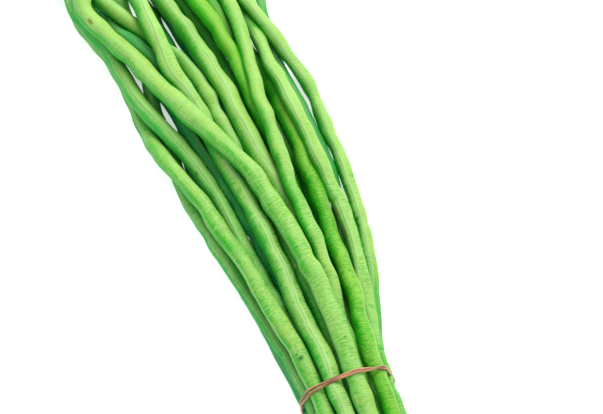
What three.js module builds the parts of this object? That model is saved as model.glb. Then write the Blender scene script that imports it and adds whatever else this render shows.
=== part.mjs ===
// A bunch of yardlong beans, tied with a rubber band near its stem ends and lying on a table.
//
// Lengths are millimetres. +X runs along the bunch from the stem ends to the pod tips, +Y is to the
// left seen along +X, and +Z is up. Each pod grew as one piece: stalk stub, dry shoulder, pod and beak.

import * as THREE from 'three';

// Driving dimensions.
const LAYER = 8;               // height from one layer of pods to the next
const POD_GAP = 0.3;           // clearance between pods that lie on each other
const BAND_RADIUS = 0.65;      // half the thickness of one turn of the rubber band
const BAND_GAP = 0.3;          // clearance between the band and the pods, and between its two turns
const BAND_SIDES = 6;          // facets round the band
const BAND_FACETS = 116;       // facets along the band's two turns
const BAND_REACH = 30;         // over this length the pods come down from the band to the table
const CHAIN_STEP = 12.5;       // longest facet along a pod
const CHAIN_TURN = 0.34;       // sharpest turn from one facet to the next, in radians
const SIDES = 8;               // facets round a pod
const WAIST = 0.94;            // the pods are this share of their thickness where the band holds them
const WAIST_LENGTH = 60;       // and reach their full thickness over this length
const SWELL = 0.03;            // a pod swells over its beans by this share of its radius
const SWELL_LENGTH = 41;       // one swelling to the next
const STUB_LENGTH = 4.5;       // the stalk stub at the stem end
const STUB_RADIUS = 1.7;
const SHOULDER_LENGTH = 7;     // from the stub to the pod's full thickness
const TAPER_LENGTH = 58;       // the pod narrows to its beak over this length
const BEAK_LENGTH = 4;         // the dry beak
const BEAK_RADIUS = 1.1;

// The courses below are drawn on a level plane at COURSE_HEIGHT, as they look from SIGHT. A pod that
// lies higher or lower is on the same line of sight.
const COURSE_HEIGHT = 26;
const SIGHT = new THREE.Vector3(-275, 116, 768);

// The settling of the pods on each other.
const ROUNDS = 420;            // rounds of settling
const LAST_ROUNDS = 160;       // of which the last only part the pods that touch
const FALL = 0.05;             // how far a pod falls in a round
const HOLD = 0.16;             // how far a pod returns to its course in a round, as a share
const STIFFNESS = 0.3;         // how evenly a pod shares a bend with its neighbouring points
const GRIP = 0.012;            // how far the band draws the pods to the middle in a round, as a share

// Each pod: its name, its radius, how closely it keeps to its course and the course itself.
// A course gives, for points along the pod, the place along and across and the layer it lies in.
const PODS = [
  ['pod_flank_left', 4.2, 0.7, [
    [-52, 23, 1.5], [-30, 21, 1.5], [0, 20, 1.4], [20, 23, 1.1], [40, 25.5, 0.8], [60, 28.5, 0.4], [80, 31, 0],
    [100, 34, 0], [120, 35.5, 0], [140, 34.5, 0], [160, 31, 0], [180, 27, 0], [200, 23.5, 0], [220, 23, 0],
    [240, 27, 0], [265, 32, 0], [295, 35, 0], [325, 35, 0], [350, 37, 0]]],
  ['pod_shoulder_left', 4.2, 0.8, [
    [-58, 19, 2.4], [-30, 18, 2.3], [0, 17.8, 2.2], [20, 21, 1.9], [40, 23.4, 1.5], [60, 27, 1.2], [80, 32, 1],
    [100, 36.3, 0.8], [120, 39.6, 0.6], [140, 41, 0.3], [160, 40.6, 0.1], [179, 40.8, 0], [191, 38.4, 0],
    [202, 37.2, 0], [216, 37.2, 0], [229, 38.7, 0], [242, 40.6, 0], [253, 41.6, 0], [272, 42, 0], [292, 46, 0],
    [315, 52, 0], [340, 56, 0]]],
  ['pod_top_left', 4.5, 1, [
    [-60, 15, 3.2], [-30, 13, 3.1], [0, 12.3, 3], [20, 14.6, 2.8], [40, 17.6, 2.5], [60, 21.5, 2.2], [80, 25.8, 2],
    [100, 31.2, 1.8], [120, 36.3, 1.5], [140, 43, 1.2], [150, 46.2, 1], [160, 48.5, 0.5], [170, 49.8, 0], [185, 50.8, 0],
    [202, 52.5, 0], [216, 55.3, 0], [228, 58.8, 0], [236, 62.3, 0], [243, 64.2, 0], [250, 64, 0], [258, 62.5, 0],
    [267, 65, 0], [282, 73, 0], [310, 84, 0], [335, 89, 0]]],
  ['pod_second_left', 4.6, 1, [
    [-54, 10, 2.2], [-30, 9, 2.1], [0, 8.3, 2], [20, 12, 1.8], [40, 16, 1.5], [60, 20.2, 1.2], [80, 23.4, 1],
    [100, 24.8, 1], [120, 27.3, 1], [140, 32.7, 1.1], [150, 35.8, 1.1], [160, 39.8, 1.1], [170, 44, 1.1], [182, 47, 1.1],
    [193, 49.6, 1.1], [204, 51.5, 1.1], [217, 53.8, 1.1], [229, 56.4, 1.1], [240, 60, 1], [249, 63.2, 1],
    [257, 63, 1], [266, 61, 0.7], [278, 61, 0.3], [298, 66, 0], [320, 72, 0], [342, 71, 0]]],
  ['pod_inner_left', 4.2, 0.7, [
    [-64, 14, 1.1], [-30, 12.5, 1], [0, 11.5, 1], [30, 11.5, 1], [60, 12.5, 1], [80, 14, 0.8], [100, 16.5, 0.6],
    [120, 20, 0.4], [140, 25, 0], [160, 30, 0], [180, 34, 0], [196, 37.6, 0], [209, 42.2, 0], [219, 46, 0],
    [228, 48.5, 0], [237, 49.4, 0], [244, 49.6, 0], [251, 49.5, 0], [262, 51, 0], [290, 57, 0], [320, 61, 0],
    [346, 67, 0]]],
  ['pod_inner_teal', 4, 0.8, [
    [-49, 11, 0], [-30, 11, 0], [0, 11, 0], [40, 11, 0], [80, 12, 0], [100, 13.3, 0], [120, 15.8, 0],
    [140, 19.5, 0], [160, 23.5, 0], [175, 25.5, 0.2], [190, 27.4, 0.6], [201, 30.6, 0.8], [211, 34.8, 0.9],
    [219, 39, 0.9], [227, 43.3, 0.9], [236, 47.6, 0.9], [244, 48.4, 0.8], [251, 47, 0.5], [263, 45, 0],
    [290, 47, 0], [320, 47, 0], [352, 47, 0], [372, 49, 0]]],
  ['pod_ribbed', 5, 1, [
    [-62, 5, 3.2], [-30, 3.6, 3.1], [0, 4.1, 3], [20, 5.1, 2.8], [40, 6.2, 2.5], [60, 7.3, 2.2], [80, 8.7, 2],
    [100, 10.6, 1.7], [120, 14.4, 1.4], [140, 17.8, 1.1], [160, 19.6, 1.1], [180, 23, 1.3], [200, 26.2, 1.7],
    [220, 27.9, 1.9], [240, 30.4, 1.6], [260, 33, 1], [285, 35.5, 0.6], [310, 33, 0.2], [335, 27, 0], [364, 21, 0]]],
  ['pod_crossing', 4.4, 1, [
    [-57, 0.5, 2.2], [-30, 0, 2.1], [0, -0.6, 2], [20, -1.4, 2], [40, -1, 1.9], [60, 0.2, 1.6], [80, 1.8, 1.3],
    [100, 4.5, 1.1], [130, 7.2, 1], [150, 8.9, 1], [170, 11.2, 1], [180, 12.5, 0.9], [190, 14.6, 0.8], [200, 18, 0.7],
    [210, 23.5, 0.7], [219, 30, 0.9], [226, 34.8, 1.2], [234, 39.4, 1.5], [244, 45.4, 1.6], [253, 50.5, 1.5],
    [260, 55, 1.3], [268, 62, 1], [282, 72, 0.6], [300, 77, 0.4], [322, 81, 0.2], [345, 84, 0.2]]],
  ['pod_folded', 5.3, 1, [
    [-65, -6.5, 3.2], [-30, -6, 3.1], [0, -5.6, 3], [20, -7, 2.9], [40, -6.9, 2.7], [60, -6.5, 2.5], [80, -4.6, 2.3],
    [90, -3, 2.3], [100, -1.3, 2.2], [110, 1.6, 2.2], [120, 4.6, 2.1], [130, 7.7, 2.1], [140, 11, 2.1], [150, 15.8, 2],
    [160, 20.8, 2], [170, 25.4, 2], [180, 30, 1.9], [190, 34.6, 1.9], [200, 38.7, 1.9], [210, 43.3, 1.9], [220, 47.6, 1.9],
    [230, 52.9, 1.9], [240, 57.9, 2], [247, 61, 2], [253, 62.8, 2], [259, 61.6, 2], [265, 57.5, 1.8],
    [272, 53, 1.3], [282, 50.5, 0.8], [296, 50, 0.3], [312, 50, 0], [334, 53, 0]]],
  ['pod_stout', 5.4, 1, [
    [-60, -4, 1.1], [-30, -4, 1], [0, -4, 1], [40, -5, 1.1], [70, -6, 1.1], [100, -5.4, 1], [110, -4.2, 1],
    [120, -3.1, 1], [140, -0.2, 1], [160, 1.6, 1], [180, 3.8, 1], [200, 7, 1], [210, 8.8, 1], [220, 11.5, 1],
    [230, 14.6, 1], [240, 17.4, 1], [260, 22, 0.8], [285, 24, 0.3], [310, 20, 0], [340, 13, 0], [366, 8, 0]]],
  ['pod_under_stout', 4, 0.5, [
    [-51, 4, 0], [-30, 3.6, 0], [0, 3.4, 0], [40, 3, 0], [80, 3, 0], [120, 4, 0], [150, 5.5, 0],
    [180, 8, 0], [190, 9.6, 0], [200, 11.3, 0], [210, 13.6, 0], [220, 16.4, 0], [230, 19.2, 0], [245, 21, 0],
    [270, 22, 0], [300, 26, 0], [330, 31, 0], [356, 31, 0]]],
  ['pod_under_middle', 4, 0.5, [
    [-66, 4.5, 1.1], [-30, 4, 1], [0, 3.6, 1], [30, 2.6, 0.9], [60, 0, 0.5], [90, -3.4, 0], [120, -4.2, 0],
    [150, -4, 0], [180, -2.4, 0], [190, -0.9, 0], [200, 0.6, 0], [215, 3, 0], [230, 6.8, 0.3], [240, 9.6, 0.3],
    [260, 13, 0], [290, 14, 0], [320, 16, 0], [350, 22, 0], [370, 25, 0]]],
  ['pod_shaded', 4.1, 0.8, [
    [-55, -4.5, 0], [-30, -4.4, 0], [0, -4.5, 0], [40, -6, 0], [80, -9, 0], [110, -11.3, 0], [130, -11, 0.1],
    [150, -9.2, 0.4], [165, -8, 0.7], [180, -7.8, 0.8], [200, -7.4, 0.9], [210, -6.5, 0.9], [220, -4.6, 0.9],
    [230, -1.4, 0.9], [238, 2.4, 0.8], [255, 7, 0.4], [280, 8.5, 0], [310, 5, 0], [340, -1, 0], [372, -5, 0]]],
  ['pod_between', 3.8, 0.6, [
    [-68, -12, 1.1], [-30, -12, 1], [0, -11.8, 1], [40, -13, 0.8], [80, -15.5, 0.4], [110, -18, 0], [140, -17.3, 0],
    [170, -14.5, 0], [190, -12.4, 0.1], [210, -10.9, 0.5], [220, -10, 0.8], [230, -8.2, 0.9], [240, -5.4, 0.9],
    [260, -1, 0.5], [285, 0.5, 0], [315, -3, 0], [345, -9, 0], [362, -11, 0]]],
  ['pod_slim', 3.9, 1, [
    [-56, -12, 2.5], [-30, -11, 2.4], [0, -10.8, 2.3], [20, -10.6, 2.1], [40, -10.4, 1.9], [60, -10.5, 1.7],
    [80, -11.3, 1.4], [100, -11, 1.1], [120, -11.5, 1.1], [140, -12.5, 1.1], [160, -13.1, 1.1], [180, -13.7, 1],
    [200, -14.8, 1], [210, -15.7, 1], [220, -15.5, 1.1], [230, -15.2, 1.1], [245, -13.5, 1], [270, -11, 0.6],
    [300, -13, 0.1], [335, -20, 0], [368, -25, 0], [392, -25, 0]]],
  ['pod_top_right', 4.4, 1, [
    [-62, -18, 2.9], [-30, -16.4, 2.8], [0, -16.4, 2.7], [20, -17.6, 2.5], [40, -19.4, 2.3], [60, -21.2, 1.9],
    [80, -21.9, 1.5], [100, -22.5, 1.2], [120, -22.7, 1], [140, -22.5, 0.9], [160, -21.2, 0.6], [180, -19.3, 0.2],
    [195, -16.5, 0], [215, -12.6, 0], [235, -9, 0], [255, -6.5, 0], [285, -7.5, 0], [315, -13.5, 0],
    [345, -19, 0], [375, -17, 0]]],
  ['pod_shoulder_right', 4.2, 1, [
    [-58, -22, 2], [-30, -20, 1.9], [0, -19.6, 1.8], [20, -22, 1.8], [40, -26.4, 1.6], [60, -30, 1.4], [80, -31.6, 1.1],
    [100, -31.2, 0.9], [120, -29.8, 0.8], [140, -28.6, 0.8], [160, -27.6, 0.7], [180, -25, 0.5], [195, -22.8, 0.3],
    [205, -21.2, 0], [225, -20, 0], [250, -19.5, 0], [280, -22, 0], [310, -30, 0], [340, -36, 0], [366, -37, 0]]],
  ['pod_edge_right', 4, 1, [
    [-50, -21, 1], [-25, -19.5, 1], [0, -19.3, 0.9], [20, -23.5, 0.8], [40, -29.6, 0.5], [60, -35.2, 0.3], [80, -37.8, 0.2],
    [100, -39.6, 0.1], [120, -40.4, 0], [140, -39, 0], [154, -39.9, 0], [164, -39.9, 0], [174, -39.3, 0], [184, -36.6, 0.1],
    [193, -34, 0.3], [203, -31.7, 0.5], [212, -27.2, 0.6], [222, -25.7, 0.7], [231, -23.7, 0.6], [250, -25, 0.2],
    [280, -31, 0], [310, -39, 0], [340, -46, 0], [366, -47, 0]]],
  ['pod_under_right', 3.8, 0.6, [
    [-60, -12, 0], [-30, -12, 0], [0, -12, 0], [30, -15.5, 0], [60, -22, 0], [90, -29, 0], [120, -33.8, 0],
    [150, -32.8, 0], [180, -28.4, 0], [200, -28.8, 0], [220, -31.4, 0], [245, -35.5, 0], [275, -41, 0], [305, -49, 0],
    [335, -57, 0], [358, -61, 0]]],
];

// A pod's radius at a distance along it.
function podRadius(radius, along, length) {
  const stem = Math.min(1, Math.max(0, (along - STUB_LENGTH) / SHOULDER_LENGTH));
  const tip = Math.min(1, Math.max(0, (length - along - BEAK_LENGTH) / TAPER_LENGTH));
  const shoulder = STUB_RADIUS + (radius - STUB_RADIUS) * Math.sqrt(stem * (2 - stem));
  const taper = BEAK_RADIUS + (radius - BEAK_RADIUS) * Math.pow(tip * (2 - tip), 0.75);
  const waist = 1 - (1 - WAIST) * Math.max(0, 1 - Math.abs(along - 60) / WAIST_LENGTH);
  const swell = 1 + SWELL * Math.sin(along * 2 * Math.PI / SWELL_LENGTH + radius * 40);
  return Math.min(shoulder, taper) * waist * swell;
}

// The height at which the pods lie over the band and, away from it, on the table.
function ground(x) {
  const near = Math.max(0, 1 - Math.abs(x) / BAND_REACH);
  return (2 * BAND_RADIUS + 2 * BAND_GAP) * Math.min(1, near * 1.25) ** 2 * (3 - 2 * Math.min(1, near * 1.25));
}

// The points of a pod's course, closer together where it bends more.
function pointsAlong(course, radius) {
  const corners = course.map(([x, y, layer]) => new THREE.Vector3(x, y, radius + layer * LAYER));
  const fine = new THREE.CatmullRomCurve3(corners, false, 'centripetal').getSpacedPoints(400);
  const passed = [0];
  for (let i = 1; i < fine.length; i++) {
    const here = fine[i].clone().sub(fine[i - 1]);
    const before = i > 1 ? fine[i - 1].clone().sub(fine[i - 2]) : here;
    const share = Math.max(here.length() / CHAIN_STEP, here.angleTo(before) / CHAIN_TURN);
    passed.push(passed[i - 1] + share);
  }
  const count = Math.round(passed[passed.length - 1]);
  const points = [];
  for (let k = 0; k <= count; k++) {
    const wanted = passed[passed.length - 1] * k / count;
    let i = 1;
    while (i < passed.length - 1 && passed[i] < wanted) i++;
    const share = (wanted - passed[i - 1]) / (passed[i] - passed[i - 1]);
    points.push(fine[i - 1].clone().lerp(fine[i], share));
  }
  return points;
}

function lengthsAlong(points) {
  const lengths = [0];
  for (let i = 1; i < points.length; i++) {
    lengths.push(lengths[i - 1] + points[i].distanceTo(points[i - 1]));
  }
  return lengths;
}

const chains = PODS.map(([name, radius, hold, course]) => {
  const points = pointsAlong(course, radius);
  const lengths = lengthsAlong(points);
  const total = lengths[lengths.length - 1];
  return {
    name, radius, hold, points,
    start: points.map((point) => point.clone()),
    radii: lengths.map((along) => podRadius(radius, along, total)),
  };
});

// The closest approach of two straight pieces: how far along each it is, and the step between.
function approach(a, b, c, d) {
  const u = b.clone().sub(a);
  const v = d.clone().sub(c);
  const w = a.clone().sub(c);
  const uu = u.dot(u);
  const vv = v.dot(v);
  const uv = u.dot(v);
  const uw = u.dot(w);
  const vw = v.dot(w);
  const across = uu * vv - uv * uv;
  const clamp = (value) => Math.min(1, Math.max(0, value));
  let s = across > 1e-6 * uu * vv ? clamp((uv * vw - vv * uw) / across) : 0.5;
  const t = clamp((uv * s + vw) / vv);
  s = clamp((uv * t - uw) / uu);
  return { s, t, step: w.addScaledVector(u, s).addScaledVector(v, -t) };
}

// The pairs of straight pieces that are near each other.
function nearPairs(reach) {
  const pieces = [];
  chains.forEach((chain, pod) => {
    for (let i = 0; i + 1 < chain.points.length; i++) {
      const middle = chain.points[i].clone().add(chain.points[i + 1]).multiplyScalar(0.5);
      pieces.push({ pod, i, middle });
    }
  });
  pieces.sort((p, q) => p.middle.x - q.middle.x);
  const pairs = [];
  for (let p = 0; p < pieces.length; p++) {
    for (let q = p + 1; q < pieces.length; q++) {
      if (pieces[q].middle.x - pieces[p].middle.x > reach) break;
      const samePod = pieces[p].pod === pieces[q].pod;
      if (samePod && Math.abs(pieces[p].i - pieces[q].i) < 4) continue;
      if (pieces[p].middle.distanceTo(pieces[q].middle) < reach) pairs.push([pieces[p], pieces[q]]);
    }
  }
  return pairs;
}

// Part two pieces that are closer than their thickness allows.
function part([first, second]) {
  const one = chains[first.pod];
  const two = chains[second.pod];
  const a = one.points[first.i];
  const b = one.points[first.i + 1];
  const c = two.points[second.i];
  const d = two.points[second.i + 1];
  const { s, t, step } = approach(a, b, c, d);
  const radiusOne = one.radii[first.i] * (1 - s) + one.radii[first.i + 1] * s;
  const radiusTwo = two.radii[second.i] * (1 - t) + two.radii[second.i + 1] * t;
  const apart = step.length();
  const lacking = radiusOne + radiusTwo + POD_GAP - apart;
  if (lacking <= 0) return 0;
  if (apart < 1e-6) step.set(0, 0, 1);
  step.setLength(lacking * 0.5);
  const shareOne = 1 / ((1 - s) ** 2 + s ** 2);
  const shareTwo = 1 / ((1 - t) ** 2 + t ** 2);
  a.addScaledVector(step, (1 - s) * shareOne);
  b.addScaledVector(step, s * shareOne);
  c.addScaledVector(step, -(1 - t) * shareTwo);
  d.addScaledVector(step, -t * shareTwo);
  return lacking;
}

// Spread each pod's departure from its course evenly along it.
function shareBends(chain, share) {
  const moved = chain.points.map((point, i) => point.clone().sub(chain.start[i]));
  for (let i = 0; i < moved.length; i++) {
    const before = moved[Math.max(0, i - 1)];
    const after = moved[Math.min(moved.length - 1, i + 1)];
    const middle = before.clone().add(after).multiplyScalar(0.5);
    chain.points[i].addScaledVector(middle.sub(moved[i]), share);
  }
}

// Return a point to its course, along the line of sight through its own height.
function returnTo(point, start, share) {
  const lean = (COURSE_HEIGHT - point.z) / (SIGHT.z - COURSE_HEIGHT);
  point.x += share * (start.x + (start.x - SIGHT.x) * lean - point.x);
  point.y += share * (start.y + (start.y - SIGHT.y) * lean - point.y);
}

function settle() {
  const bottom = Math.cos(Math.PI / SIDES);
  let pairs = [];
  for (const chain of chains) {
    chain.points.forEach((point, i) => returnTo(point, chain.start[i], 1));
  }
  for (let round = 0; round < ROUNDS; round++) {
    if (round % 12 === 0) pairs = nearPairs(2 * CHAIN_STEP + 6);
    const last = round >= ROUNDS - LAST_ROUNDS;
    const ease = last ? 0.25 * Math.max(0, 1 - (round - ROUNDS + LAST_ROUNDS) / (0.6 * LAST_ROUNDS)) : 1;
    for (const chain of chains) {
      chain.points.forEach((point, i) => {
        point.z -= FALL * ease;
        returnTo(point, chain.start[i], HOLD * chain.hold * ease);
        const grip = GRIP * ease * Math.max(0, 1 - Math.abs(point.x) / BAND_REACH);
        point.y -= grip * point.y;
        point.z -= grip * (point.z - 17);
      });
      shareBends(chain, STIFFNESS * ease);
    }
    for (const pair of pairs) part(pair);
    for (const chain of chains) {
      chain.points.forEach((point, i) => {
        point.z = Math.max(point.z, ground(point.x) + bottom * chain.radii[i]);
      });
    }
  }
}
settle();

// The place, direction and radius of a pod at a distance along it.
function stationAt(chain, lengths, along) {
  const { points } = chain;
  let i = 1;
  while (i < points.length - 1 && lengths[i] < along - 1e-4) i++;
  const share = (along - lengths[i - 1]) / (lengths[i] - lengths[i - 1]);
  const place = points[i - 1].clone().lerp(points[i], share);
  const ahead = points[i].clone().sub(points[i - 1]).normalize();
  if (share > 1 - 1e-4 && i + 1 < points.length) {
    ahead.add(points[i + 1].clone().sub(points[i]).normalize()).normalize();
  }
  return { place, ahead };
}

// A pod: a turned body, bent along its course and pressed flat where it lies on the table.
function makePod(chain) {
  const lengths = lengthsAlong(chain.points);
  const total = lengths[lengths.length - 1];
  const inner = lengths.filter((along) => along > 11 && along < total - 6);
  const ends = [0, STUB_LENGTH, STUB_LENGTH + 1.6, STUB_LENGTH + 5.2, total - BEAK_LENGTH, total];
  const stations = [...ends.slice(0, 4), ...inner, ...ends.slice(4)];
  const profile = [new THREE.Vector2(0, 0)];
  for (const along of stations) {
    const full = podRadius(chain.radius, along, total);
    profile.push(new THREE.Vector2(along === total ? 0.6 : full, along));
  }
  profile.push(new THREE.Vector2(0, total));
  const body = new THREE.LatheGeometry(profile, SIDES, Math.PI / SIDES);
  const at = body.getAttribute('position');
  const up = new THREE.Vector3(0, 0, 1);
  for (let k = 0; k < at.count; k++) {
    const { place, ahead } = stationAt(chain, lengths, at.getY(k));
    const side = ahead.clone().cross(up).normalize();
    const rise = side.clone().cross(ahead);
    place.addScaledVector(side, at.getX(k)).addScaledVector(rise, at.getZ(k));
    at.setXYZ(k, place.x, place.y, place.z < 0.12 ? 0 : place.z);
  }
  body.computeVertexNormals();
  return body;
}

// The outline of the pods where the band goes round them, in the plane across the bunch.
function bandOutline() {
  const rim = [];
  const reach = BAND_RADIUS + BAND_GAP;
  for (const chain of chains) {
    const lengths = lengthsAlong(chain.points);
    for (let along = 0; along < lengths[lengths.length - 1]; along += 1) {
      const { place } = stationAt(chain, lengths, along);
      if (Math.abs(place.x) > 2.5) continue;
      const radius = podRadius(chain.radius, along, lengths[lengths.length - 1]) + reach;
      for (let k = 0; k < 32; k++) {
        const turn = k * Math.PI / 16;
        rim.push([place.y + radius * Math.cos(turn), place.z + radius * Math.sin(turn)]);
      }
    }
  }
  rim.sort((p, q) => p[0] - q[0] || p[1] - q[1]);
  const turnsLeft = (o, p, q) => (p[0] - o[0]) * (q[1] - o[1]) - (p[1] - o[1]) * (q[0] - o[0]) > 0;
  const half = (list) => {
    const hull = [];
    for (const point of list) {
      while (hull.length > 1 && !turnsLeft(hull[hull.length - 2], hull[hull.length - 1], point)) hull.pop();
      hull.push(point);
    }
    return hull.slice(0, -1);
  };
  return [...half(rim), ...half(rim.reverse())];
}

// The rubber band: one closed loop wound twice round the bunch, its turns crossing once on top.
function makeBand() {
  const outline = bandOutline().map(([y, z]) => new THREE.Vector3(0, y, z));
  const round = new THREE.CatmullRomCurve3(outline, true, 'centripetal', 0.5);
  const apart = BAND_RADIUS + BAND_GAP / 2 + 0.08;
  const places = [];
  const count = 2 * 96;
  for (let k = 0; k < count; k++) {
    const turn = 2 * k / count;
    const place = round.getPointAt(turn % 1);
    const ahead = round.getTangentAt(turn % 1);
    const outward = ahead.clone().cross(new THREE.Vector3(1, 0, 0)).normalize();
    const crossing = Math.min(1, Math.max(0, (turn % 1 - 0.56) / 0.16));
    const swing = Math.PI * (Math.floor(turn) + crossing * crossing * (3 - 2 * crossing));
    place.addScaledVector(outward, 2 * apart * Math.max(0, Math.sin(swing)));
    place.x += apart * Math.cos(swing);
    places.push(place);
  }
  const path = new THREE.CatmullRomCurve3(places, true, 'centripetal');
  const body = new THREE.TubeGeometry(path, BAND_FACETS, BAND_RADIUS, BAND_SIDES, true);
  const at = body.getAttribute('position');
  for (let k = 0; k < at.count; k++) at.setZ(k, Math.max(0, at.getZ(k)));
  return body;
}

const group = new THREE.Group();
group.name = 'yardlong_bean_bunch';

function addPiece(name, geometry, colour, roughness) {
  const mesh = new THREE.Mesh(geometry, new THREE.MeshStandardMaterial({ color: colour, roughness }));
  mesh.name = name;
  group.add(mesh);
}

const GREENS = [0x5fae3e, 0x8fce5a, 0x74bd48, 0x9ad663, 0x4c9a3a, 0x66b45a];
chains.forEach((chain, i) => addPiece(chain.name, makePod(chain), GREENS[i % GREENS.length], 0.5));
addPiece('rubber_band', makeBand(), 0xb9805f, 0.6);

// The origin is under the middle of the bunch.
const bounds = new THREE.Box3();
for (const mesh of group.children) {
  mesh.geometry.computeBoundingBox();
  bounds.union(mesh.geometry.boundingBox);
}
const centre = bounds.getCenter(new THREE.Vector3());
for (const mesh of group.children) {
  mesh.geometry.translate(-centre.x, -centre.y, 0);
}

export default group;
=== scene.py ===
"""A bunch of yardlong beans tied with a rubber band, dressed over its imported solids."""
import logging
import math
from dataclasses import dataclass, field
from enum import Enum
from typing import Any, Optional, Sequence, Union

import bpy
import numpy as np
from mathutils import Matrix, Vector


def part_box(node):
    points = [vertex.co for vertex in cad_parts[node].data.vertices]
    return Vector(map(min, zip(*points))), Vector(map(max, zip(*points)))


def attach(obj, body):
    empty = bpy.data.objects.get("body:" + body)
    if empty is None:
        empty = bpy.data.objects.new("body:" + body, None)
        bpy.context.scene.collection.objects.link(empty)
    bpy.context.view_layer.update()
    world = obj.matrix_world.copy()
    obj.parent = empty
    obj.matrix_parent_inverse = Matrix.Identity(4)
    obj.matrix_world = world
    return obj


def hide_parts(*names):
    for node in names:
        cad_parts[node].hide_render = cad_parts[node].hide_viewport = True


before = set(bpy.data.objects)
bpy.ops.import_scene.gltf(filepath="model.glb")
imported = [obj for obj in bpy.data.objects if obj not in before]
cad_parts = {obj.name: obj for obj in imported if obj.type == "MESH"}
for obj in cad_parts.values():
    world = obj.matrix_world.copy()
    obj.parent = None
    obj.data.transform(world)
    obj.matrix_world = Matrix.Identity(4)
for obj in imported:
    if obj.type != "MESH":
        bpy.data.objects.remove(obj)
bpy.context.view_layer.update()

log = logging.getLogger("bean_bunch")

MM = 0.001
TURN = 2.0 * math.pi
Colour = tuple[float, float, float]
# The direction from which light is painted on the pods: the side facing it is painted palest and the far side
# takes painted shade.
PAINTED_LIGHT_SIDE = np.array([-0.1, -0.36, 0.93])
# A pod's mean radius as a share of its solid's.
SKIN_SHARE = 0.985
# How far the floor lies below the lowest pods, in metres.
FLOOR_DROP = 0.0004


def from_screen(red: int, green: int, blue: int) -> Colour:
    """A screen colour as a linear one.

    Args:
        red: Red, 0 to 255.
        green: Green, 0 to 255.
        blue: Blue, 0 to 255.

    Returns:
        The linear red, green and blue.
    """
    def line(value: int) -> float:
        """One channel: a short straight foot, then a power of 2.4."""
        share = value / 255.0
        return share / 12.92 if share <= 0.04045 else ((share + 0.055) / 1.055) ** 2.4
    return line(red), line(green), line(blue)


# Surfaces


def ease(share: np.ndarray) -> np.ndarray:
    """Three squares less two cubes of a share from 0 to 1, which starts and ends level."""
    share = np.clip(share, 0.0, 1.0)
    return share * share * (3.0 - 2.0 * share)


def ripple(
    rng: np.random.Generator, along: np.ndarray, around: np.ndarray, step: float, cells: int,
) -> np.ndarray:
    """Random relief on a grid, which joins up round the pod.

    Random heights stand at the corners of a lattice, every step along and cells to a turn, and each
    point takes its four corners' heights, eased between them.

    Args:
        rng: The source of the heights.
        along: Distances along, as a column, in mm.
        around: Angles, as a row or a full grid, in radians.
        step: The lattice's spacing along, in mm.
        cells: The lattice's cells in one turn.

    Returns:
        The heights, with a spread of about 1.
    """
    rows = int(np.max(along) / step) + 3
    heights = rng.standard_normal((rows, cells))
    u = np.maximum(along, 0.0) / step
    v = (around / TURN) * cells
    i, j = np.floor(u).astype(int), np.floor(v).astype(int)
    f, g = ease(u - i), ease(v - j)
    low = heights[i, j % cells] * (1 - g) + heights[i, (j + 1) % cells] * g
    high = heights[i + 1, j % cells] * (1 - g) + heights[i + 1, (j + 1) % cells] * g
    return low * (1 - f) + high * f


def closed_grid(
    name: str, rings: np.ndarray, poles: Optional[tuple[np.ndarray, np.ndarray]],
) -> bpy.types.Mesh:
    """A closed mesh from rings of points.

    Neighbouring rings are joined by four-sided faces. The ends are closed by a fan to each pole, or,
    with no poles, the last ring joins the first.

    Args:
        name: The mesh's name.
        rings: Points as (ring, place in the ring, xyz), in metres.
        poles: The two end points, or None for a ring-shaped body.

    Returns:
        The mesh, with its faces outwards and smooth.
    """
    count, sides = rings.shape[:2]
    place = np.arange(count * sides).reshape(count, sides)
    upper = np.roll(place, -1, axis=0) if poles is None else place[1:]
    lower = place if poles is None else place[:-1]
    quads = np.stack([lower, np.roll(lower, -1, 1), np.roll(upper, -1, 1), upper], -1).reshape(-1, 4)
    points = rings.reshape(-1, 3)
    fans = np.zeros((0, 3), int)
    if poles is not None:
        points = np.vstack([points, poles[0], poles[1]])
        first, last = place[0], place[-1]
        near = np.full(sides, count * sides)
        fans = np.vstack([
            np.stack([near, np.roll(first, -1), first], -1),
            np.stack([near + 1, last, np.roll(last, -1)], -1),
        ])
    mesh = bpy.data.meshes.new(name)
    corners = np.concatenate([quads.ravel(), fans.ravel()]).astype(np.int32)
    starts = np.concatenate([np.arange(len(quads)) * 4, len(quads) * 4 + np.arange(len(fans)) * 3])
    mesh.vertices.add(len(points))
    mesh.vertices.foreach_set("co", points.astype(np.float32).ravel())
    mesh.loops.add(len(corners))
    mesh.loops.foreach_set("vertex_index", corners)
    mesh.polygons.add(len(starts))
    mesh.polygons.foreach_set("loop_start", starts.astype(np.int32))
    mesh.update(calc_edges=True)
    mesh.polygons.foreach_set("use_smooth", np.ones(len(starts), bool))
    mesh.validate()
    return mesh


def note(mesh: bpy.types.Mesh, name: str, values: np.ndarray) -> None:
    """Store a value, or three, on each point of a mesh.

    Args:
        mesh: The mesh.
        name: The attribute's name.
        values: One number or three for each point.
    """
    kind = "FLOAT" if values.ndim == 1 else "FLOAT_VECTOR"
    layer = mesh.attributes.new(name, kind, "POINT")
    layer.data.foreach_set("value" if values.ndim == 1 else "vector", values.astype(np.float32).ravel())


# Shader expressions


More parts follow.
